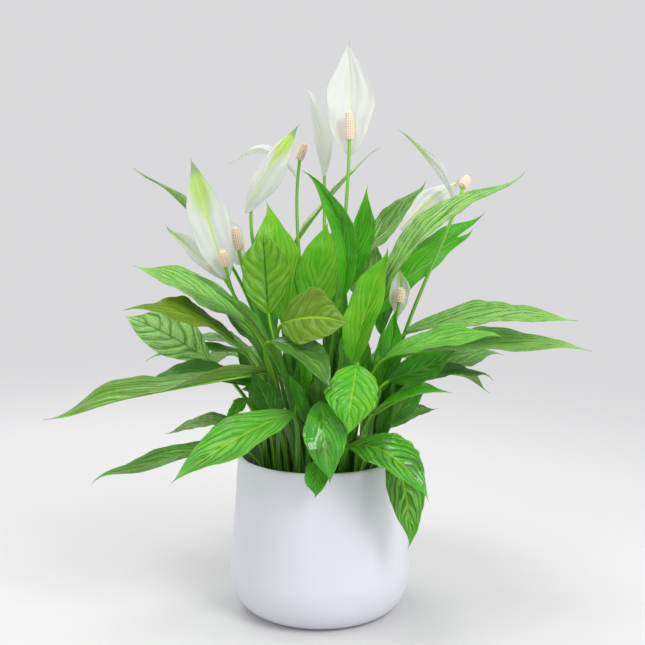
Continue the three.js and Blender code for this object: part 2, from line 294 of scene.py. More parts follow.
def leaf_finish(name, upper):
    """Green that depends on the leaf's tone, with veins darkened partly by painted shade, a midrib,
    pale streaks of painted sheen and a dry tip.
    """
    f = Finish(name)
    along = f.chart("X")
    across = abs(f.chart("Y") * 2 - 1)
    tone, grey, mark = f.attribute("tone"), f.attribute("grey"), f.attribute("mark")
    turns = f.attribute("turns")
    tipward = 1 - along.step(0.80, 0.95)
    cloud, fleck = f.noise(CLOUD), f.noise(FLECK, 3.0)
    streak = f.streaks(turns * 4.5, across * 2.2, tone * 40)
    net = f.cells(NET_CELL).step(0.03, 0.20)
    # darker along the side veins: partly their own deeper green, partly painted shade in their
    # grooves
    line = (turns.wave() ** 9) * tipward * (cloud * 0.9 + 0.3)
    valley = (turns.wave() ** 2) * tipward
    fine = (turns * 6.0 + cloud).wave() * tipward
    shade = tone + (cloud - 0.5) * 0.9 + (streak - 0.5) * (grey + 0.6) - valley * mark * 0.35
    colour = f.blend(shade.step(0.05, 0.62), DEEP, VIVID)
    colour = f.blend(shade.step(0.5, 1.25), colour, FRESH)
    colour = f.blend(f.attribute("olive"), colour, OLIVE)
    if not upper:
        colour = f.blend(0.5, colour, UNDERSIDE)
    # pale streaks and flecks of painted sheen, the bright room reflected in the wax
    cover = (streak + grey * 0.30).step(0.42, 0.72)
    pale = (net * 0.55 + fleck * 0.9) * cover * (1 - line * 0.9)
    colour = f.blend(pale * (grey + 0.10), colour, PAINTED_SHEEN)
    colour = f.blend(fine * (0.08 + mark * 0.14), colour, MIDRIB_GREEN)
    colour = f.blend(line * (0.10 + mark * 0.45), colour, DEEP)
    rib = 1 - across.step(0.015, 0.06)
    rib_light = f.attribute("rib")
    colour = f.blend(rib * rib_light.step(0.3, 1.1), colour, MIDRIB_GREEN)
    colour = f.blend(rib * (1 - rib_light.step(0.0, 0.4)) * 0.85, colour, DEEP)
    colour = f.blend(across.step(0.93, 1.0) * 0.45, colour, MARGIN)
    colour = f.blend(along.step(0.95, 0.985) * f.attribute("dry"), colour, DRY)
    shine = f.attribute("shine")
    relief = line * -0.7 + fine * 0.2 + fleck * 0.35 + net * 0.25
    surface = {
        "Base Color": colour,
        "Roughness": 0.50 - shine * 0.18 + (fleck - 0.5) * 0.25 + (0.0 if upper else 0.10),
        "Coat Weight": shine * shine,
        "Coat Roughness": 0.12,
        "Coat IOR": 1.45,
        "Specular IOR Level": 0.12,
        "Normal": f.bump(relief, 0.00040, 0.6),
    }
    return f.output(surface, LEAF_GLOW, 0.20)


leaf_upper = leaf_finish("leaf_upper", True)
leaf_under = leaf_finish("leaf_under", False)


def stalk_finish(name, low, high, edge):
    """Smooth green that goes from one colour at the soil to another at the top, with pale edges. A
    darker colour at the soil is painted shade, where the stalks stand crowded under the leaves.
    """
    f = Finish(name)
    along, around = f.chart("X"), f.chart("Y")
    streak = f.noise(0.0025, 2.0, (1, 1, 0.08))
    colour = f.blend(along + (streak - 0.5) * 0.5, low, high)
    colour = f.blend(around.step(0.80, 0.98) * 0.5, colour, edge)
    colour = f.blend(streak.step(0.58, 0.75) * 0.25, colour, edge)
    surface = {
        "Base Color": colour,
        "Roughness": 0.36 + streak * 0.2,
        "Coat Weight": 0.15,
        "Normal": f.bump(streak, 0.0004, 0.5),
    }
    return f.output(surface)


# the dark green at the soil is painted shade, where the stalks stand crowded under the leaves
leaf_stalk = stalk_finish(
    "leaf_stalk", (0.012, 0.125, 0.002, 1), (0.110, 0.430, 0.006, 1), (0.420, 0.680, 0.040, 1)
)
print("leaf finishes:", leaf_upper.name, leaf_under.name, leaf_stalk.name)

# %% [markdown]
# ## Skins
#
# Every grown piece is a skin through rings: a stalk is round rings along a path, and a leaf is flat
# rings that pass over its upper side and back under it. One helper turns rings into a closed
# mesh, so no edge is left open. Another measures the volume that the faces enclose, and turns them
# over if that comes out negative, so they always point outwards.

# %% Skins


def skin(rings, chart, finishes):
    """Joins each ring to the next and closes both ends with a fan to the ring's middle. The
    finishes are the numbers of the materials once round a ring."""
    n, m = rings.shape[:2]
    here = np.arange(m)
    there = (here + 1) % m
    row = np.arange(n - 1)[:, None] * m
    quads = np.stack([row + here, row + there, row + m + there, row + m + here], -1)
    last = (n - 1) * m
    first_fan = np.stack([np.full(m, n * m), there, here], -1)
    last_fan = np.stack([np.full(m, n * m + 1), last + here, last + there], -1)
    middles = [rings[0].mean(0)[None], rings[-1].mean(0)[None]]
    ends = [chart[0].mean(0), chart[-1].mean(0)]
    return {
        "points": np.concatenate([rings.reshape(-1, 3), *middles]),
        "quads": quads.reshape(-1, 4),
        "fans": np.concatenate([first_fan, last_fan]),
        "chart": np.concatenate([chart.reshape(-1, 2), ends]),
        "finish": np.concatenate([np.tile(finishes, n - 1), finishes, finishes]),
        "numbers": {},
    }


def with_number(part, key, values):
    """Adds a number for each point of the skin, given as one row for each ring."""
    ends = [values[0].mean(), values[-1].mean()]
    part["numbers"][key] = np.concatenate([values.ravel(), ends])
    return part


def outward(part):
    """Turns the faces over if they enclose a negative volume, a sixth of the sum of a . (b x c)."""
    centred = part["points"] - part["points"].mean(0)
    q, t = centred[part["quads"]], centred[part["fans"]]
    corners = np.concatenate([q[:, [0, 1, 2]], q[:, [0, 2, 3]], t])
    volume = np.einsum("ij,ij->", corners[:, 0], np.cross(corners[:, 1], corners[:, 2])) / 6
    if volume < 0:
        part["quads"], part["fans"] = part["quads"][:, ::-1], part["fans"][:, ::-1]
    return part


def make_piece(name, parts, materials, looks=None, nodes=()):
    """One object from closed skins in millimetres. It rides on the plant. Its looks, one number
    each, and the numbers of its skins become attributes that the finish reads."""
    parts = [outward(part) for part in parts]
    starts = np.cumsum([0] + [len(part["points"]) for part in parts])
    points = np.concatenate([part["points"] for part in parts]) * MM
    chart = np.concatenate([part["chart"] for part in parts])
    quads = np.concatenate([part["quads"] + s for part, s in zip(parts, starts)])
    fans = np.concatenate([part["fans"] + s for part, s in zip(parts, starts)])
    square = [part["finish"][: len(part["quads"])] for part in parts]
    ends = [part["finish"][len(part["quads"]) :] for part in parts]
    mesh = bpy.data.meshes.new(name)
    mesh.vertices.add(len(points))
    mesh.vertices.foreach_set("co", points.ravel())
    corners = np.concatenate([quads.ravel(), fans.ravel()])
    mesh.loops.add(len(corners))
    mesh.loops.foreach_set("vertex_index", corners)
    begins = [np.arange(len(quads)) * 4, len(quads) * 4 + np.arange(len(fans)) * 3]
    mesh.polygons.add(len(quads) + len(fans))
    mesh.polygons.foreach_set("loop_start", np.concatenate(begins))
    mesh.polygons.foreach_set("material_index", np.concatenate(square + ends))
    mesh.update(calc_edges=True)
    mesh.shade_smooth()
    mesh.uv_layers.new(name="chart").data.foreach_set("uv", chart[corners].ravel())
    numbers = {key: np.full(len(points), float(value)) for key, value in (looks or {}).items()}
    for key in sorted({key for part in parts for key in part["numbers"]}):
        given = [part["numbers"].get(key, np.zeros(len(part["points"]))) for part in parts]
        numbers[key] = np.concatenate(given)
    for key, values in numbers.items():
        mesh.attributes.new(key, "FLOAT", "POINT").data.foreach_set("value", values)
    for material in materials:
        mesh.materials.append(material)
    piece = bpy.data.objects.new(name, mesh)
    bpy.context.scene.collection.objects.link(piece)
    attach(piece, "root")
    if nodes:
        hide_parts(*nodes)


def unit(vectors):
    """Each vector divided by its own length."""
    return vectors / np.linalg.norm(vectors, axis=-1, keepdims=True)


def once_round(count):
    """Evenly spaced angles, once round."""
    return np.linspace(0, TURN, count, endpoint=False)


def turned(vectors, axis, angle):
    """Vectors turned about a unit axis: v cos a + (axis x v) sin a + axis (axis . v)(1 - cos a)."""
    angle = np.asarray(angle, float)[..., None]
    along = axis * np.sum(axis * vectors, -1, keepdims=True)
    return (
        vectors * np.cos(angle)
        + np.cross(axis, vectors) * np.sin(angle)
        + along * (1 - np.cos(angle))
    )


print("skin helpers ready")

# %% [markdown]
# ## The shape of a leaf
#
# A leaf is a midrib with a blade on both sides. The midrib is an arc from the blade's base to its
# tip. The blade is widest before its middle and ends in a long fine point. It is folded up from
# the midrib like an open book and can be twisted. Real leaves add what a flat cut-out lacks: the
# side veins pull the surface into soft pleats, the margin waves, and the midrib lies in a groove
# above and stands out as a keel below. All of it is one formula on a grid of how far along and
# how far across. The values below are a leaf's form when nothing else is said. bow and sway are in
# millimetres, roll, twist and fold in degrees. veins, slant and pleat set the side veins, ripple
# and waves the margin, and flute soft folds from end to end.

# %% Leaf directions and outline
PLAIN_FORM = dict(
    sway=0, roll=0, twist=0, flute=0, veins=6.5, slant=0.75, pleat=0.8, ripple=1.6, waves=2.2
)
UP = np.array([0.0, 0.0, 1.0])


def directions(base, tip, leaf):
    """Unit vectors to the right of a blade and out of its upper side. look turns the upper side to
    an azimuth and an elevation. Without it that side looks up and back over the base, and leans
    right by roll degrees."""
    ahead = unit(tip - base)
    wanted = np.array([-0.4 * ahead[0], -0.4 * ahead[1], 1])
    if "look" in leaf:
        azimuth, elevation = np.radians(leaf["look"])
        wanted = np.array([math.cos(azimuth), math.sin(azimuth), math.tan(elevation)])
    side = turned(unit(np.cross(ahead, wanted)), ahead, math.radians(leaf["roll"]))
    return side, np.cross(side, ahead)


def arc(base, tip, leaf, side, face, u):
    """Points and directions of the midrib: a quadratic arc whose middle control point is pushed out
    of the upper side by twice bow and to the right by twice sway."""
    pull = (base + tip) / 2 + face * 2 * leaf["bow"] + side * 2 * leaf["sway"]
    u = np.asarray(u, float)[..., None]
    points = (1 - u) ** 2 * base + 2 * u * (1 - u) * pull + u**2 * tip
    return points, unit(2 * (1 - u) * (pull - base) + 2 * u * (tip - pull))


def outline(u):
    """Share of the greatest half width: u to the 0.6 times (1 - u cubed) to the 1.9."""
    return u**0.6 * (1 - u**3) ** 1.9 / 0.517


lengths = np.linspace(0, 1, 101)
print("share of the length where a leaf is widest:", lengths[np.argmax(outline(lengths))])

# %% The blade
BLADE_ROWS = 130
BLADE_COLUMNS = 28
LEAF_THICKNESS = 0.7
GROOVE = 0.55  # depth of the groove that the midrib lies in
BEND = 0.68  # share of the length where the tip starts to bend aside


def vein_turns(u, v, count, slant, phase):
    """Counts side veins: along the leaf, less the slant times 0.6 v + 0.4 v cubed, with a slow
    unevenness so that no two gaps are the same."""
    uneven = 0.018 * np.sin(17 * u + phase) + 0.008 * np.sin(41 * u + 2 * phase)
    return (u + uneven - slant * (0.6 * v + 0.4 * v**3)) * count


def groove_share(half):
    """How much of its full depth the groove has: all of it once the half width is 10 mm."""
    return np.clip(half / 10, 0, 1)


def tip_curl(u, curl):
    """A bend before the tip: curl times 6.75 s squared (1 - s), where s runs from 0 at the bend to
    1 at the tip. Its greatest value is curl, and the tip itself stays in place."""
    s = np.clip((u - BEND) / 0.32, 0, 1)
    return curl * 6.75 * s * s * (1 - s)


def blade(base, tip, leaf, rng, thickness=LEAF_THICKNESS):
    """A thin closed blade. Across it runs v from -1 to 1 on top and back below. Its height above
    the midrib is the fold, minus the groove, plus pleats that follow the side veins, plus waves
    that grow with the square of v, plus flutes: soft folds that run from end to end. The margin
    draws in a little where each vein meets it. curl and lift bend the blade sideways and upwards
    just before its tip, by a random amount when they aren't given."""
    u = np.linspace(0, 1, BLADE_ROWS) ** 0.93
    x = np.linspace(-1, 1, BLADE_COLUMNS + 1)
    across_top = 0.3 * x + 0.7 * np.sign(x) * x * x * (3 - 2 * np.abs(x))
    v = np.concatenate([across_top, across_top[-2:0:-1]])
    top = np.concatenate([np.ones(BLADE_COLUMNS + 1), -np.ones(BLADE_COLUMNS - 1)])
    top[[0, BLADE_COLUMNS]] = 0
    side, face = directions(base, tip, leaf)
    rib, ahead = arc(base, tip, leaf, side, face, u)
    across = unit(side - ahead * (ahead @ side)[:, None])
    across = turned(across, ahead, math.radians(leaf["twist"]) * (u - 0.5))
    out = np.cross(across, ahead)
    phase = rng.uniform(0, TURN, 6)
    rib = rib + across * tip_curl(u, leaf.get("curl", 2.5 * math.cos(phase[3])))[:, None]
    rib = rib + out * tip_curl(u, leaf.get("lift", 2.0 * math.cos(phase[4])))[:, None]
    half = outline(np.clip(u, 1e-4, 1 - 1e-4)) * leaf["width"] / 2
    U, V = np.meshgrid(u, v, indexing="ij")
    A = np.abs(V)
    turns = vein_turns(U, A, leaf["veins"], leaf["slant"], phase[2] + np.sign(V))
    scallop = 0.008 * leaf["pleat"] * np.cos(TURN * turns)
    wobble = 1 + 0.05 * np.sin(TURN * 2.3 * U + phase[0] + np.sign(V)) - scallop * A
    reach = half[:, None] * V * wobble
    fold = math.radians(leaf["fold"])
    soft = np.sqrt(A * A + 0.012) - math.sqrt(0.012)
    height = half[:, None] * soft * math.sin(fold)
    fade = np.clip(A * 6, 0, 1) * np.sin(math.pi * U) ** 0.5
    ridge = (0.5 - 0.5 * np.cos(TURN * turns)) ** 0.7
    height = height + leaf["pleat"] * ridge * fade * np.clip(half[:, None] / 16, 0.2, 1)
    ripple, waves = leaf["ripple"] * A * A * np.sin(math.pi * U), leaf["waves"]
    height = height + ripple * np.sin(TURN * waves * U + phase[1] + phase[2] * (V > 0))
    height = height + 0.25 * ripple * np.sin(TURN * 3.1 * waves * U + phase[5] + V)
    drift = 0.35 * np.sin(5 * U + phase[0]) + 0.12 * np.sin(13 * U + phase[1] + V)
    flute = leaf["flute"] * np.clip(half[:, None] / 14, 0, 1) * np.sin(math.pi * U)
    height = height + flute * fade * np.cos(TURN * (1.9 * V + drift))
    height = height - GROOVE * np.exp(-((reach / 1.1) ** 2)) * groove_share(half)[:, None]
    body = thickness * (0.35 + 0.65 * np.sqrt(np.clip(1 - A**3, 0, 1)))
    height = height + top * body / 2 * np.clip(half[:, None] / 3, 0.5, 1)
    rings = rib[:, None] + across[:, None] * (reach * math.cos(fold))[..., None]
    rings = rings + out[:, None] * height[..., None]
    chart = np.stack([U, V / 2 + 0.5], -1)
    finishes = (np.arange(len(v)) >= BLADE_COLUMNS).astype(int)
    return with_number(skin(rings, chart, finishes), "turns", turns)


print("a blade has", (BLADE_ROWS - 1) * 2 * BLADE_COLUMNS, "four-sided faces")

# %% The stalk and keel
STEM_START = 110.0  # height of every stem's foot, inside the soil
ROD_SIDES = 14
STALK_STATIONS = 34
KEEL_STATIONS = 39
JOINT = 0.06  # share of the midrib that the stalk runs on into the blade
KEEL_END = 0.66  # before the bend of the tip


def cubic(a, b, c, d, t):
    """Points and directions of a cubic arc with these four control points."""
    t = np.asarray(t, float)[:, None]
    points = (1 - t) ** 3 * a + 3 * t * (1 - t) ** 2 * b + 3 * t * t * (1 - t) * c + t**3 * d
    slopes = (1 - t) ** 2 * (b - a) + 2 * t * (1 - t) * (c - b) + t * t * (d - c)
    return points, unit(slopes)


def stem(foot, end, arriving, t):
    """The path of a stem: it leaves its foot upright, with a pull of 0.45 of the straight distance,
    and arrives at its end along a given direction, with a pull of 0.25 of it."""
    start = np.array([foot[0], foot[1], STEM_START])
    length = np.linalg.norm(end - start)
    return cubic(start, start + 0.45 * length * UP, end - 0.25 * length * arriving, end, t)


def carried(ahead, first):
    """Turns a first side vector with the path: at each station the part along the path is taken
    away. The loop runs over the stations of one path, not over vertices."""
    sides = [unit(first - ahead[0] * (ahead[0] @ first))]
    for direction in ahead[1:]:
        sides.append(unit(sides[-1] - direction * (direction @ sides[-1])))
    return np.array(sides)


def rod(points, ahead, first, radius, flat=1.0, channel=0.0):
    """Rings round a path. A channel sinks the side that first points to by its share of the
    radius, over about a third of the turn, and flat squeezes the rod towards that side."""
    side = carried(ahead, np.asarray(first, float))
    other = np.cross(ahead, side)
    angle = once_round(ROD_SIDES)
    dip = np.exp(-((np.abs((angle + math.pi) % TURN - math.pi) / 0.62) ** 2))
    size = np.asarray(radius)[:, None] * (1 - np.asarray(channel)[..., None] * dip)
    inward = (size * np.cos(angle) * np.asarray(flat)[..., None])[..., None]
    sideways = (size * np.sin(angle))[..., None]
    rings = points[:, None] + side[:, None] * inward + other[:, None] * sideways
    t = np.linspace(0, 1, len(points))
    chart = np.stack(np.meshgrid(t, np.abs(np.sin(angle)), indexing="ij"), -1)
    return rings, chart


def leaf_parts(foot, base, tip, leaf, rng):
    """A blade, and one tapering rod that is the stalk up to the blade and its keel from there on.
    The stalk has a wide sheath and a channel at its foot. The keel hangs below the midrib by its
    own radius and the groove, so its top stays inside the blade and never shows on the upper
    side."""
    base, tip = np.array(base, float), np.array(tip, float)
    side, face = directions(base, tip, leaf)
    joint, arriving = arc(base, tip, leaf, side, face, JOINT)
    t = np.linspace(0, 1, STALK_STATIONS)
    low, low_ahead = stem(foot, joint, arriving, t)
    u = np.linspace(JOINT, KEEL_END, KEEL_STATIONS + 1)[1:]
    high, high_ahead = arc(base, tip, leaf, side, face, u)
    points, ahead = np.concatenate([low, high]), np.concatenate([low_ahead, high_ahead])
    sheath = 1.25 * np.clip(1 - t / 0.75, 0, 1) ** 0.8
    stalk = 1.65 + 0.45 * (1 - t) + sheath
    keel = 1.35 * ((KEEL_END - u) / (KEEL_END - JOINT)) ** 0.6 * min(1.0, leaf["width"] / 30)
    radius = np.concatenate([stalk, keel + 0.10])
    drop = keel + 0.10 + GROOVE * groove_share(outline(u) * leaf["width"] / 2)
    down = np.concatenate([np.clip((t - 0.8) / 0.2, 0, 1) ** 2 * drop[0], drop])
    turn = math.radians(leaf["twist"]) * (u - 0.5)
    sides = unit(side - ahead * (ahead @ side)[:, None])
    sides = turned(sides, ahead, np.concatenate([t * turn[0], turn]))
    points = points - np.cross(sides, ahead) * down[:, None]
    inward = -unit(np.array([foot[0] + 0.01, foot[1], 0.0]))
    channel = np.concatenate([0.45 * (1 - 0.5 * t), np.zeros(KEEL_STATIONS)])
    flat = np.concatenate([0.62 + 0.38 * t, np.ones(KEEL_STATIONS)])
    rings, chart = rod(points, ahead, inward, radius, flat, channel)
    chart[:STALK_STATIONS, :, 0] = t[:, None] * 0.8
    chart[STALK_STATIONS:, :, 0] = 1.0
    return [blade(base, tip, leaf, rng), skin(rings, chart, np.full(ROD_SIDES, 2))]


print("stations along a stalk and its keel:", STALK_STATIONS + KEEL_STATIONS)

# %% [markdown]
# ## The leaves
#
# Each leaf stands where its plain solid does. A row gives its foot on the soil, the base and the
# tip of its blade and its width and bow, all in millimetres, then its fold in degrees, then what
# else sets it apart. Some of that is its form, and some is its looks. tone runs from 0, dark, to 1,
# fresh yellow-green. grey is how strong its pale streaks of painted sheen are, mark how strongly
# its veins show, partly with painted shade in their grooves, shine how glossy its wax is, olive how
# brownish it is, rib how pale its midrib is, and dry how brown its tip.

# %% Where the leaves are
LEAVES = [
    # Spreading to the left
    ((-40, -22), (-46, -32, 232), (-231, -114, 206), 58, 3, 22,
     dict(twist=-50, tone=0.3, grey=0.35, mark=0.6, rib=1, ripple=3.4, waves=1.6, curl=-3, veins=6,
          olive=0.3)),
    ((-42, 6), (-58, 10, 208), (-170, -28, 212), 42, 14, 15,
     dict(roll=-20, tone=0.1, grey=0.08, shine=0.5, mark=0.6, pleat=1.1)),
    ((-48, -14), (-82, -30, 166), (-198, -90, 142), 24, 4, 12,
     dict(roll=-22, tone=0.3, grey=0.35, mark=0.7, dry=1, curl=4, ripple=0.8)),
    ((-22, -46), (-24, -50, 198), (-124, -126, 154), 46, 7, 10,
     dict(roll=-22, tone=0.55, grey=0.3, mark=0.5, rib=0.9, veins=7, slant=0.55)),
    ((-36, -6), (-78, -14, 256), (-172, -58, 290), 42, 12, 12,
     dict(roll=-24, tone=0.3, olive=0.9, mark=0.5, rib=0.9, ripple=3, waves=1.8)),
    ((-46, 20), (-106, 30, 230), (-192, 66, 268), 46, 8, 8,
     dict(roll=-45, tone=0.5, grey=0.7, mark=0.7, pleat=1.5, rib=0.15, veins=7, slant=0.24)),
    ((-30, -2), (-70, -2, 273), (-166, -34, 327), 44, 6, 12,
     dict(roll=-34, tone=0.6, grey=0.6, mark=0.55)),
    ((-22, -14), (-32, -14, 221), (-122, -50, 324), 36, 14, 15,
     dict(roll=-15, tone=0.3, grey=0.3, shine=0.8, mark=0.6, pleat=0.4)),
    ((-24, 10), (-36, 18, 217), (-102, 14, 291), 32, 8, 12,
     dict(roll=-35, tone=0.3, grey=0.3, shine=0.8, mark=0.5)),
    ((-36, 44), (-95, 72, 330), (-186, 100, 412), 30, 8, 15,
     dict(look=(0, 48), tone=0.1, grey=0.6, mark=0.6)),
    # Upright in the middle
    ((-18, -32), (-44, -54, 263), (12, -95, 225), 40, 12, 15,
     dict(roll=10, tone=0.1, grey=0.2, shine=0.9, mark=0.7, rib=0.8)),
    ((-8, -30), (-33, -50, 278), (28, -70, 282), 52, 12, 10,
     dict(roll=62, tone=0.3, olive=0.75, mark=0.4, rib=0.9, pleat=1, veins=6, slant=0.34)),
    ((-12, -6), (-48, 0, 279), (-54, 30, 357), 46, 4, 12,
     dict(look=(-90, 15), tone=0.85, olive=0.5, mark=0.8, rib=0, pleat=1.3, slant=0.28)),
    ((-8, 14), (-34, 24, 268), (-52, 54, 381), 46, 6, 12,
     dict(look=(-80, 15), tone=0.95, mark=0.35, ripple=1.6, pleat=0.4)),
    ((4, -14), (18, -24, 294), (-18, -58, 412), 26, 0, 38,
     dict(sway=20, look=(-90, 15), tone=0.6, shine=0.6, mark=0.35)),
    ((0, 26), (-8, 24, 272), (8, 46, 362), 44, 4, 10,
     dict(look=(-95, 15), tone=0.85, mark=0.4, ripple=-1.2, pleat=0.4)),
    ((14, -4), (22, 4, 300), (44, 2, 398), 28, 6, 25, dict(look=(-60, 15), tone=0.5, mark=0.35)),
    ((-20, 52), (-32, 92, 328), (62, 138, 432), 26, 6, 10,
     dict(look=(180, 45), tone=0.1, grey=0.9, mark=0.6)),
    ((20, 24), (33, 52, 325), (104, 82, 401), 30, -4, 15,
     dict(roll=30, tone=0.3, grey=0.45, mark=0.7, rib=0.2)),
    ((18, 36), (42, 64, 284), (36, 102, 354), 46, 6, 8,
     dict(look=(-80, 20), tone=0.35, grey=0.5, mark=0.5)),
    ((12, -26), (27, -40, 236), (61, -16, 344), 38, 4, 34,
     dict(look=(-110, 10), tone=0.85, mark=0.45, rib=0.8)),
    # Spreading to the right
    ((26, -12), (42, -8, 276), (181, -30, 410), 46, 22, 15,
     dict(roll=25, tone=0.55, grey=0.6, mark=1, rib=0.1, pleat=1.3, lift=-5, curl=3, veins=5.5,
          slant=0.85)),
    ((30, 10), (43, 22, 268), (148, 56, 357), 28, 13, 12,
     dict(roll=45, tone=0.65, grey=0.1, mark=0.45, curl=5, ripple=-1.2, pleat=0.4)),
    ((46, -4), (78, -8, 264), (230, -38, 278), 48, 9, 12,
     dict(roll=18, tone=0.6, grey=0.6, mark=0.9, pleat=1.2, rib=0.3, veins=5.5, slant=0.85)),
    ((38, -22), (58, -40, 246), (158, -82, 269), 38, 8, 12,
     dict(roll=25, tone=0.6, grey=0.35, mark=0.55, rib=0.9, veins=6, slant=0.7)),
    ((48, 8), (76, 8, 240), (244, -38, 250), 44, 10, 12,
     dict(roll=20, tone=0.7, grey=0.6, mark=0.75, rib=0.9, veins=5.5, slant=0.85)),
    ((48, 26), (94, 32, 208), (178, 46, 232), 38, 8, 12,
     dict(roll=15, tone=0.3, grey=0.5, mark=0.6)),
    ((32, -34), (48, -40, 194), (114, -84, 222), 34, 8, 12,
     dict(roll=12, tone=0.5, shine=0.6, mark=0.4, rib=0.8)),
    # Hanging over the front of the rim
    ((20, -46), (24, -62, 170), (92, -112, 134), 50, 20, 8,
     dict(roll=15, tone=0.45, grey=0.15, shine=1, mark=0.7, pleat=1.4, rib=0.8, veins=8,
          slant=0.45)),
    ((42, -36), (60, -58, 171), (76, -88, 84), 33, 8, 8,
     dict(sway=-6, look=(-80, 20), tone=0.35, grey=0.3, mark=0.85, pleat=1.3, rib=0.8, veins=8,
          slant=0.42)),
    ((18, -36), (32, -70, 244), (22, -106, 190), 46, 6, 8,
     dict(look=(-90, 35), tone=0.7, pleat=1.4, mark=0.65, shine=0.6, rib=0.8, veins=7, slant=0.42)),
    ((2, -50), (0, -72, 212), (8, -102, 146), 36, 12, 12,
     dict(look=(-90, 35), tone=0.5, shine=1, mark=0.35)),
    # Spreading to the back
    ((-46, 32), (-64, 92, 214), (-124, 176, 190), 46, 16, 12, dict(tone=0.4, grey=0.4, mark=0.5)),
    ((-8, 54), (-14, 88, 258), (-34, 190, 262), 48, 20, 12, dict(tone=0.55, grey=0.2, mark=0.5)),
    ((28, 48), (52, 84, 212), (112, 160, 192), 46, 16, 12, dict(tone=0.35, shine=0.7, mark=0.5)),
    ((6, 52), (20, 84, 300), (46, 166, 356), 44, 14, 12, dict(tone=0.6, grey=0.3, mark=0.4)),
    ((44, 36), (84, 64, 200), (176, 116, 180), 42, 16, 12, dict(tone=0.45, grey=0.3, mark=0.5)),
]

# %% Grow the leaves
PLAIN_LOOKS = dict(tone=0.5, grey=0.1, mark=0.3, shine=0.45, dry=0.5, olive=0.0, rib=0.6)
leaf_materials = [leaf_upper, leaf_under, leaf_stalk]


def grow_leaf(name, row, seed, nodes=()):
    """The piece of this name from its row of a table, in place of the plain solids in nodes."""
    foot, base, tip, width, bow, fold, rest = row
    leaf = PLAIN_FORM | PLAIN_LOOKS | dict(width=width, bow=bow, fold=fold) | rest
    parts = leaf_parts(foot, base, tip, leaf, np.random.default_rng(seed))
    looks = {key: leaf[key] for key in PLAIN_LOOKS}
    make_piece(name, parts, leaf_materials, looks, nodes)


for i, row in enumerate(LEAVES, 1):
    grow_leaf(f"fine_leaf_{i:02d}", row, i, [f"leaf_{i:02d}"])
print("leaves grown:", len(LEAVES))

# %% [markdown]
# ## Small leaves
#
# Between the large leaves stand younger and older small ones, half hidden. They fill the plant so
# that its middle looks dense, and a few hang over the rim. They have no plain solid of their own.
# Their rows read like those of the large leaves.

# %% Small leaves
SMALL_LEAVES = [
    ((-14, -40), (-22, -34, 196), (-13, -48, 268), 16, 5, 45,
     dict(look=(-60, 10), tone=0.85, curl=4)),
    ((-50, 26), (-66, 40, 236), (-133, 90, 239), 20, 10, 15, dict(roll=-20, tone=0.25, grey=0.5)),
    ((-54, 26), (-69, 48, 234), (-175, 80, 220), 19, 8, 15, dict(roll=-15, tone=0.3, grey=0.5)),
    ((27, 19), (49, 52, 286), (164, 84, 370), 24, 8, 15, dict(roll=45, tone=0.55)),
    ((43, -16), (61, -34, 223), (124, -36, 250), 28, -8, 15, dict(roll=70, tone=0.35)),
    ((52, 8), (84, 0, 213), (163, 10, 214), 26, 10, 15, dict(roll=15, tone=0.25, shine=0.6)),
    ((41, 14), (57, 37, 158), (116, 58, 177), 21, 8, 15, dict(roll=30, tone=0.2, grey=0.5)),
    ((34, -44), (53, -26, 166), (86, -65, 154), 24, 6, 12, dict(roll=10, tone=0.4)),
    ((-8, -54), (-1, -80, 163), (-5, -96, 132), 22, 5, 10, dict(look=(-90, 25), tone=0.35)),
    ((38, -14), (55, -19, 210), (71, -16, 286), 26, 4, 25, dict(look=(-90, 12), tone=0.45)),
    ((-42, -10), (-53, -20, 202), (-74, -30, 214), 14, 6, 10, dict(roll=-30, tone=0.8)),
    ((-50, -4), (-65, -10, 202), (-83, -20, 180), 16, 5, 10, dict(roll=-20, tone=0.75)),
    ((-53, -8), (-62, -10, 170), (-142, -32, 174), 26, 10, 12, dict(roll=-15, tone=0.15, grey=0.6)),
    ((-30, -25), (-40, -32, 187), (-60, -47, 235), 30, 4, 12, dict(look=(-100, 20), tone=0.15)),
    ((-23, -22), (-16, -29, 198), (-4, -40, 251), 32, 4, 12, dict(look=(-85, 20), tone=0.15)),
    ((28, -4), (33, -10, 197), (40, -19, 263), 30, 4, 14, dict(look=(-95, 15), tone=0.3)),
    ((-32, 49), (-50, 68, 239), (-74, 157, 315), 27, 8, 14, dict(roll=20, tone=0.4)),
    ((30, 40), (60, 60, 250), (92, 110, 318), 34, 8, 14, dict(roll=-20, tone=0.45)),
    ((-19, 43), (-37, 64, 174), (-69, 150, 167), 30, 12, 12, dict(tone=0.3)),
    ((16, 52), (18, 84, 176), (34, 156, 170), 30, 12, 12, dict(tone=0.3)),
]
for i, row in enumerate(SMALL_LEAVES, 1):
    grow_leaf(f"small_leaf_{i:02d}", row, 100 + i)
print("small leaves grown:", len(SMALL_LEAVES))

# %% [markdown]
# ## Young leaves
#
# Between the grown leaves a peace lily keeps pushing up narrow young ones, which fill the middle so
# that little light comes through. On the real plant they slip past one another. A formula that
# spreads them evenly would drive them through their neighbours, so each has a place of its own
# here, in a gap between the stems. A row gives its foot, base and tip, then its width, its fold,
# the azimuth that its upper side looks to, and its tone. The rest is the same for all of them.

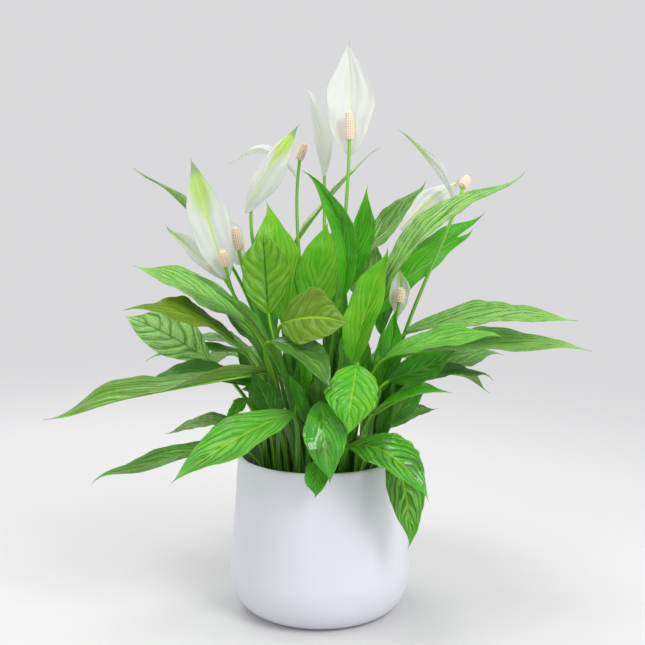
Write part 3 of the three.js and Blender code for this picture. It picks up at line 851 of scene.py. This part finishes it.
# %% Young leaves
YOUNG_LEAVES = [
    ((-2, -18), (1, -24, 192), (0, -19, 246), 17, 14, -115, 0.4),
    ((-7, 4), (-10, 1, 155), (-16, 15, 241), 21, 23, -96, 0.33),
    ((14, 47), (15, 57, 166), (22, 79, 256), 31, 19, -106, 0.33),
    ((24, -22), (25, -28, 162), (41, -33, 229), 16, 19, -116, 0.38),
    ((53, -4), (65, 0, 178), (71, -17, 252), 19, 26, -59, 0.25),
    ((11, 21), (10, 23, 215), (21, 36, 327), 24, 27, -85, 0.31),
    ((-1, 13), (-2, 16, 188), (10, 8, 244), 17, 23, -115, 0.38),
    ((8, -21), (6, -27, 181), (5, -35, 231), 22, 18, -126, 0.26),
    ((-10, 46), (-17, 56, 201), (-27, 73, 289), 14, 25, -90, 0.4),
    ((39, 6), (49, 4, 162), (73, 1, 232), 19, 16, -118, 0.28),
    ((13, -11), (11, -12, 200), (17, -7, 282), 18, 27, -120, 0.23),
    ((-6, -9), (-10, -10, 199), (-22, -13, 288), 19, 18, -106, 0.17),
    ((-10, -13), (-15, -20, 173), (-16, -20, 262), 16, 24, -99, 0.3),
    ((-41, 18), (-48, 18, 197), (-78, 32, 245), 18, 28, -123, 0.2),
    ((4, 30), (7, 34, 184), (-6, 48, 230), 19, 27, -52, 0.18),
    ((21, 1), (28, 0, 166), (50, 5, 248), 21, 27, -106, 0.42),
    ((0, -32), (-4, -39, 191), (-2, -48, 236), 23, 14, -76, 0.24),
    ((20, 47), (28, 63, 181), (43, 75, 237), 17, 18, -116, 0.3),
    ((7, 5), (12, 5, 171), (23, 18, 223), 25, 14, -82, 0.32),
    ((9, -41), (13, -51, 194), (20, -58, 269), 21, 26, -55, 0.26),
    ((-10, 28), (-10, 42, 150), (-26, 53, 204), 20, 17, -128, 0.21),
    ((47, -16), (55, -17, 159), (68, -29, 215), 15, 25, -107, 0.26),
    ((49, -9), (64, -14, 178), (96, -5, 230), 25, 15, -68, 0.3),
    ((-12, 17), (-16, 26, 185), (-27, 37, 276), 27, 27, -111, 0.41),
    ((-15, 6), (-19, 11, 196), (-38, 20, 276), 19, 16, -57, 0.26),
    ((18, -19), (24, -20, 171), (25, -23, 255), 18, 26, -128, 0.38),
    ((19, 31), (24, 39, 192), (34, 56, 256), 18, 21, -94, 0.38),
    ((1, -43), (-2, -55, 199), (-5, -64, 251), 15, 29, -55, 0.15),
    ((38, 37), (48, 51, 158), (64, 55, 220), 15, 20, -121, 0.32),
    ((-12, -45), (-11, -49, 185), (-29, -64, 238), 15, 16, -62, 0.41),
]
YOUNG_BOW = 4
for i, (foot, base, tip, width, fold, azimuth, tone) in enumerate(YOUNG_LEAVES, 1):
    rest = dict(look=(azimuth, 12), tone=tone, mark=0.4, grey=0.15)
    grow_leaf(f"young_leaf_{i:02d}", (foot, base, tip, width, YOUNG_BOW, fold, rest), 300 + i)
print("young leaves grown:", len(YOUNG_LEAVES))

# %% [markdown]
# ## Flower finishes
#
# The hood of a peace lily is a white leaf, so thin that light shows through it. Faint parallel
# veins run along it, and it is green along the midrib and at the tip, where the leaf it came from
# still shows. The spike in front of it is packed with tiny cream florets, and shade is painted
# into the gaps between them as a darker tan.

# %% Flower finishes
PETAL = (0.80, 0.815, 0.81, 1)
LIME = (0.44, 0.70, 0.015, 1)
KEEL = (0.62, 0.80, 0.07, 1)
VEIN_GREY = (0.62, 0.67, 0.56, 1)
TIP_GREEN = (0.06, 0.28, 0.01, 1)
HOOD_GLOW = (0.90, 0.92, 0.86, 1)
# painted shade in the gaps between the florets
FLORET_GAP_SHADE = (0.50, 0.27, 0.14, 1)
FLORET_TOP = (0.92, 0.80, 0.62, 1)
FLORET_BLUSH = (0.88, 0.62, 0.46, 1)


def hood_finish(name):
    """White, with lime from the tip down to where the piece's lime says, and a keel of lime."""
    f = Finish(name)
    along = f.chart("X")
    across = abs(f.chart("Y") * 2 - 1)
    lime, keel = f.attribute("lime"), f.attribute("keel")
    cloud = f.noise(0.018)
    tipward = 1 - along.step(0.55, 0.80)
    vein = (across * 6.0 + cloud * 0.6).wave() * tipward
    edge = along + (cloud - 0.5) * 0.14 - across * 0.30 + lime
    colour = f.blend((vein**3) * 0.22, PETAL, VEIN_GREY)
    colour = f.blend(edge.step(0.72, 1.00), colour, LIME)
    rib = 1 - across.step(0.02, 0.10)
    colour = f.blend(rib * keel, colour, KEEL)
    colour = f.blend((along + lime * 0.25).step(0.90, 1.0) * 0.85, colour, TIP_GREEN)
    surface = {
        "Base Color": colour,
        "Roughness": 0.48,
        "Specular IOR Level": 0.35,
        "Normal": f.bump(vein, 0.00010, 0.4),
    }
    return f.output(surface, HOOD_GLOW, 0.50)


def floret_finish(name):
    """Cream on the tops of the florets and a darker tan in the gaps, painted shade in the hollows
    between them, from the relief the mesh carries.
    """
    f = Finish(name)
    height = f.attribute("relief")
    cloud, grain = f.noise(0.004), f.noise(0.0006)
    # the gaps between the florets get a darker tan: painted shade in the hollows
    colour = f.blend(height.step(0.15, 0.75), FLORET_GAP_SHADE, FLORET_TOP)
    colour = f.blend(cloud.step(0.5, 0.8) * 0.4, colour, FLORET_BLUSH)
    surface = {"Base Color": colour, "Roughness": 0.62, "Normal": f.bump(grain, 0.0002, 0.4)}
    return f.output(surface)


hood_white = hood_finish("hood_white")
floret_cream = floret_finish("floret_cream")
# the dark green at the soil is painted shade among the crowded stalks
flower_stalk = stalk_finish(
    "flower_stalk", (0.018, 0.170, 0.003, 1), (0.160, 0.480, 0.012, 1), (0.300, 0.600, 0.050, 1)
)
print("flower finishes:", hood_white.name, floret_cream.name, flower_stalk.name)

# %% [markdown]
# ## The flowers
#
# A flower is a round stalk that carries a blunt spike, and a hood that grows from the stalk a
# little below it. The florets sit in crossed spirals, so the spike's relief is the product of two
# waves that wind in opposite directions. Like the leaves, each flower stands where its plain
# solid does. A row gives its foot, the bottom and the top of its spike and the tip of its hood,
# then the hood's width, bow, fold and the rest. lime is how far down the green of its tip reaches,
# and keel how green its midrib is.

# %% Spikes and stalks
SPIKE_ROWS, SPIKE_SIDES = 72, 64
SPIKE_RADIUS = 4.6
FLORET_ROOT = 0.7  # how far below that radius the florets start
FLORET_HEIGHT = 0.95
FLORET_STEP = 2.9  # between florets along the spike


def spike(bottom, ahead, length):
    """A blunt body of revolution whose radius carries a bump for each floret: the product of two
    waves that climb to the left and to the right."""
    s = np.linspace(0, 1, SPIKE_ROWS)
    body = np.interp(s, [0, 0.05, 0.3, 0.65, 0.9, 1], [0.6, 0.9, 1, 0.95, 0.66, 0.14])
    S, T = np.meshgrid(s, once_round(SPIKE_SIDES), indexing="ij")
    turns = S * length / FLORET_STEP
    left = np.cos(TURN * turns + 7 * T)
    right = np.cos(TURN * turns - 6 * T)
    relief = np.clip(0.5 + 0.5 * left * right, 0, 1) ** 0.8
    radius = (SPIKE_RADIUS - FLORET_ROOT) * body[:, None] + FLORET_HEIGHT * relief
    side = unit(np.cross(ahead, [0.3, 1.0, 0.2]))
    other = np.cross(ahead, side)
    rings = bottom + S[..., None] * length * ahead
    outwards = np.cos(T)[..., None] * side + np.sin(T)[..., None] * other
    rings = rings + radius[..., None] * outwards
    chart = np.stack([S, np.abs(np.sin(T))], -1)
    return with_number(skin(rings, chart, np.full(SPIKE_SIDES, 1)), "relief", relief)


def flower_parts(foot, bottom, top):
    """The stalk, which rises to a third of the spike, and the spike."""
    bottom, top = np.array(bottom, float), np.array(top, float)
    length = np.linalg.norm(top - bottom)
    ahead = unit(top - bottom)
    rising = unit(ahead + UP)
    t = np.linspace(0, 1, 60)
    points, along_stalk = stem(foot, bottom + ahead * length / 3, rising, t)
    radius = 1.95 - 0.45 * t + 0.9 * np.exp(-t * 14)
    rings, chart = rod(points, along_stalk, (1.0, 0.2, 0.0), radius)
    return [skin(rings, chart, np.zeros(ROD_SIDES, int)), spike(bottom, ahead, length)]


print("radius and floret height of a spike, in millimetres:", SPIKE_RADIUS, FLORET_HEIGHT)

# %% Hoods
HOOD_DROP = 14.0  # how far below the spike the hood grows from the stalk
STALK_RADIUS = 1.7
PLAIN_THICKNESS = 1.1  # of the hood's plain solid, which is thicker than the fine one
GAP = 0.3
HOOD_THICKNESS = 0.6
HOOD_FORM = dict(pleat=0, flute=0.9, ripple=1.2, waves=1.5)


def hood_skin(bottom, top, tip, hood, rng):
    """A blade that grows from the stalk below the spike and stands clear of it. Both of its sides
    have one finish."""
    bottom, top, tip = (np.array(p, float) for p in (bottom, top, tip))
    rising = unit(unit(top - bottom) + UP)
    neck = bottom - rising * HOOD_DROP
    face = directions(neck, tip, hood)[1]
    clear = (STALK_RADIUS + PLAIN_THICKNESS + GAP) / math.cos(math.radians(hood["fold"]))
    part = blade(neck - face * clear, tip, hood, rng, HOOD_THICKNESS)
    part["finish"] = part["finish"] * 0
    return part


print("form of a hood:", HOOD_FORM)

# %% Where the flowers are
FLOWERS = [
    ((6, 12), (27, 16, 438), (26, 16, 465), (28, 24, 529), 46, -8, 15,
     dict(look=(-90, 10), lime=-0.05, keel=0.15)),
    ((4, 44), (4, 62, 418), (4, 66, 446), (-14, 60, 489), 22, -8, 38,
     dict(sway=-8, look=(80, 10), lime=-0.12, keel=0.45)),
    ((-4, 36), (-21, 80, 420), (-15, 80, 436), (-91, 86, 415), 28, 18, 25,
     dict(look=(-20, 70), lime=0.08, keel=0.3)),
    ((-22, 38), (-68, 60, 382), (-57, 68, 405), (-19, 52, 455), 34, -8, 35,
     dict(look=(60, 10), lime=0.34, keel=0.9)),
    ((-30, 24), (-89, 30, 321), (-92, 24, 336), (-121, 24, 423), 40, -6, 15,
     dict(look=(-80, 15), lime=0.36, keel=1.0)),
    ((-24, 30), (-78, 52, 334), (-82, 50, 357), (-102, 56, 376), 34, -6, 20,
     dict(look=(-70, 15), lime=-0.1, keel=0.2)),
    ((-38, 34), (-96, 48, 317), (-108, 46, 322), (-148, 46, 360), 22, -4, 30,
     dict(look=(-60, 10), lime=0.25, keel=0.6)),
    ((28, 30), (86, 46, 364), (106, 50, 371), (132, 40, 404), 40, -5, 30,
     dict(look=(62, -20), lime=0.02, keel=1)),
    ((54, 17), (132, 26, 395), (139, 35, 404), (72, 28, 448), 18, 5, 38,
     dict(look=(20, 40), lime=0.38, keel=0.35)),
    ((36, 26), (73, 6, 289), (75, 6, 303), (76, 8, 324), 22, -6, 30,
     dict(look=(-90, 5), lime=0.25, keel=1.0)),
]
stalk_materials = [flower_stalk, floret_cream]
for i, (foot, bottom, top, tip, width, bow, fold, rest) in enumerate(FLOWERS, 1):
    name = f"flower_stalk_{i:02d}"
    parts = flower_parts(foot, bottom, top)
    make_piece(f"fine_{name}", parts, stalk_materials, nodes=[name])
    name = f"flower_hood_{i:02d}"
    hood = PLAIN_FORM | HOOD_FORM | dict(width=width, bow=bow, fold=fold) | rest
    part = hood_skin(bottom, top, tip, hood, np.random.default_rng(200 + i))
    looks = {key: hood[key] for key in ("lime", "keel")}
    make_piece(f"fine_{name}", [part], [hood_white], looks, [name])
print("flowers grown:", len(FLOWERS))

# %% [markdown]
# ## The pot
#
# The pot is turned on a wheel or cast in a round mould, so it is a profile carried round its axis.
# The plain solid has flat sides, and a profile with many sides shows the smooth belly, the thin
# rounded rim and the soft foot. The profile runs from the middle of the underside up the outer
# wall, over the rim, down inside and across the floor.

# %% Ceramic
POT_HEIGHT, RIM, BELLY, BELLY_HEIGHT, FOOT = 148.0, 77.0, 85.0, 40.0, 59.0
WALL, FLOOR, LIP = 4.5, 7.0, 2.2


def pot_radius(h):
    """Outer radius at height h: almost a straight taper above the belly, and almost a quarter
    ellipse below it. The powers near 1 make both a little fuller or slacker."""
    rise = np.clip((h - BELLY_HEIGHT) / (POT_HEIGHT - BELLY_HEIGHT), 0, 1)
    drop = np.clip(1 - h / BELLY_HEIGHT, 0, 1) ** 1.1
    above = BELLY - (BELLY - RIM) * rise**0.9
    below = FOOT + (BELLY - FOOT) * np.sqrt(1 - drop * drop) ** 0.9
    return np.where(h >= BELLY_HEIGHT, above, below)


def spun(radius, height, count=192):
    """A profile of radii and heights carried round the upright axis. Its two ends are on the axis,
    where the fans of the skin close it."""
    R, T = np.meshgrid(radius, once_round(count), indexing="ij")
    Z = np.broadcast_to(np.asarray(height)[:, None], R.shape)
    chart = np.stack([R / 100, Z / 150], -1)
    return skin(np.stack([R * np.cos(T), R * np.sin(T), Z], -1), chart, np.zeros(count, int))


def ceramic_finish():
    """White glaze with a faint unevenness in its colour and gloss."""
    f = Finish("ceramic_white")
    cloud, grain = f.noise(0.05), f.noise(0.0012, 3.0)
    colour = f.blend(cloud * 0.6, (0.665, 0.680, 0.725, 1), (0.695, 0.708, 0.750, 1))
    surface = {
        "Base Color": colour,
        "Roughness": 0.48 + (cloud - 0.5) * 0.12 + (grain - 0.5) * 0.06,
        "Specular IOR Level": 0.4,
        "Normal": f.bump(grain, 0.00012, 0.35),
    }
    return f.output(surface)


LIP_START, TAPER_START = POT_HEIGHT - LIP, BELLY_HEIGHT + 4
curve_h = BELLY_HEIGHT * (1 - np.cos(np.linspace(0, math.pi / 2, 26)))
outer_h = np.concatenate([curve_h, np.linspace(TAPER_START, LIP_START, 34)])[1:]
inner_low = np.linspace(BELLY_HEIGHT, FLOOR + 5, 12)
inner_h = np.concatenate([np.linspace(LIP_START, TAPER_START, 30), inner_low])
lip = np.linspace(0, math.pi, 15)[1:-1]
lip_r = pot_radius(POT_HEIGHT) - WALL / 2 + WALL / 2 * np.cos(lip)
inner_r = pot_radius(inner_h) - WALL
radius = np.concatenate([[0.2, FOOT - 2], pot_radius(outer_h), lip_r, inner_r, [FOOT - 4, 0.2]])
lip_h = LIP_START + LIP * np.sin(lip)
height = np.concatenate([[0, 0], outer_h, lip_h, inner_h, [FLOOR, FLOOR]])
pot = [spun(radius, height)]
make_piece("fine_ceramic_pot", pot, [ceramic_finish()], nodes=["ceramic_pot"])
print("pot profile points:", len(radius))

# %% [markdown]
# ## The growing pot and the soil
#
# The thin plastic pot keeps its plain solid, because its drain holes are cut there. It only needs
# the finish of grey moulded plastic. The soil is a lumpy mound that fills it: its surface is a sum
# of waves, with crumbs of bark and white grit strewn over it.

# %% Growing pot
f = Finish("grow_plastic")
grain = f.noise(0.0015)
surface = {
    "Base Color": f.blend(f.noise(0.03), (0.30, 0.31, 0.305, 1), (0.40, 0.41, 0.405, 1)),
    "Roughness": 0.5 + (grain - 0.5) * 0.2,
    "Normal": f.bump(grain, 0.0001, 0.5),
}
plastic = f.output(surface)
liner = bpy.data.objects["growing_pot"]
for holder in liner.material_slots:
    holder.material = plastic
print("the growing pot keeps its plain solid:", liner.name)

# %% Soil
SOIL_TOP, MOUND, SHOULDER, SOIL_EDGE = 122.0, 3.0, 45.0, 65.0
SOIL_FOOT, SOIL_FLOOR = 52.0, 9.2
SOIL_SIDES = 160
CRUMB_REACH = 62
CRUMB_RINGS, CRUMB_SIDES = 4, 6


def soil_height(x, y):
    """The mound, level inside its shoulder and lower at its edge, plus lumps from crossed waves."""
    r = np.hypot(x, y)
    rise = np.clip((SOIL_EDGE - r) / (SOIL_EDGE - SHOULDER), 0, 1)
    lumps = np.sin(x * 0.41 + 1.7 * np.sin(y * 0.23)) * np.cos(y * 0.37 + 1.3 * np.sin(x * 0.29))
    small = np.sin(x * 1.3 + 2 * np.sin(y * 0.9)) * np.sin(y * 1.1 + 2 * np.sin(x * 0.8))
    return SOIL_TOP + MOUND * rise * 0.8 + 0.9 * lumps + 0.45 * small


def soil_finish(name, dark, light):
    f = Finish(name)
    grain, cloud = f.noise(0.0012, 4.0), f.noise(0.008)
    colour = f.blend((grain + cloud).step(0.75, 1.3), dark, light)
    surface = {"Base Color": colour, "Roughness": 0.95, "Normal": f.bump(grain, 0.0012, 0.9)}
    return f.output(surface)


earth = soil_finish("soil_dark", (0.012, 0.008, 0.005, 1), (0.085, 0.055, 0.034, 1))
bark = soil_finish("bark_brown", (0.045, 0.024, 0.012, 1), (0.150, 0.090, 0.050, 1))
grit = soil_finish("grit_white", (0.45, 0.44, 0.42, 1), (0.75, 0.74, 0.72, 1))
soil_r = np.concatenate([[0.3], np.linspace(2, SOIL_EDGE, 60), [SOIL_EDGE - 0.6, SOIL_FOOT, 0.3]])
R, T = np.meshgrid(soil_r, once_round(SOIL_SIDES), indexing="ij")
X, Y = R * np.cos(T), R * np.sin(T)
Z = soil_height(X, Y)
Z[-3:] = np.array([SOIL_TOP - 4, SOIL_FLOOR, SOIL_FLOOR])[:, None]
soil_chart = np.stack([R / 100, Z / 150], -1)
soil_skin = skin(np.stack([X, Y, Z], -1), soil_chart, np.zeros(SOIL_SIDES, int))
make_piece("fine_soil", [soil_skin], [earth], nodes=["soil"])


def crumbs(count, sizes, seed):
    """Small rough lumps: rings of a squashed ball, each turned and scaled at random. The root in
    the distance from the middle strews them evenly."""
    rng = np.random.default_rng(seed)
    lift = np.sin(np.linspace(-1.2, 1.2, CRUMB_RINGS))[:, None]
    belt = np.sqrt(1 - lift**2)
    turn = once_round(CRUMB_SIDES)
    shape = (CRUMB_RINGS, CRUMB_SIDES)
    lumps = []
    for _ in range(count):
        away, bearing = rng.uniform(0, 1) ** 0.5 * CRUMB_REACH, rng.uniform(0, TURN)
        x, y = away * math.cos(bearing), away * math.sin(bearing)
        scale = rng.uniform(*sizes) * rng.uniform(0.5, 1, 3)
        upward = np.broadcast_to(lift * scale[2] * 0.7, shape)
        flat = [belt * np.cos(turn) * scale[0], belt * np.sin(turn) * scale[1]]
        rings = np.stack([*flat, upward], -1)
        rings = turned(rings, unit(rng.normal(size=3)), rng.uniform(0, 3))
        rings = rings + np.array([x, y, soil_height(x, y) + scale[2] * 0.3])
        lumps.append(skin(rings, np.zeros((*shape, 2)), np.zeros(CRUMB_SIDES, int)))
    return lumps


make_piece("bark_crumbs", crumbs(420, (1.2, 3.6), 7), [bark])
make_piece("grit_crumbs", crumbs(50, (0.8, 1.8), 8), [grit])
print("crumbs strewn")

# %% [markdown]
# ## The floor
#
# A pale sheet under the pot catches its soft shadow. It fades out with distance, so that no
# horizon cuts the view.

# %% Floor
FADE_START, FADE_END = 0.45, 1.5  # metres from the pot's axis
f = Finish("floor_pale")
far = f.node("ShaderNodeVectorMath", "Value", {"operation": "LENGTH"}, {"Vector": f.place()})
clear = f.node("ShaderNodeBsdfTransparent", "BSDF", {}, {})
matte = f.node("ShaderNodeBsdfDiffuse", "BSDF", {}, {"Color": (0.66, 0.655, 0.66, 1)})
floor_mesh = bpy.data.meshes.new("floor")
corners = [(-2, -2, 0), (2, -2, 0), (2, 2, 0), (-2, 2, 0)]
floor_mesh.from_pydata(corners, [], [(0, 1, 2, 3)])
floor_mesh.materials.append(f.end(f.mixed(far.step(FADE_START, FADE_END), matte, clear)))
floor = bpy.data.objects.new("floor", floor_mesh)
bpy.context.scene.collection.objects.link(floor)
print("the floor fades out between", FADE_START, "and", FADE_END, "metres")
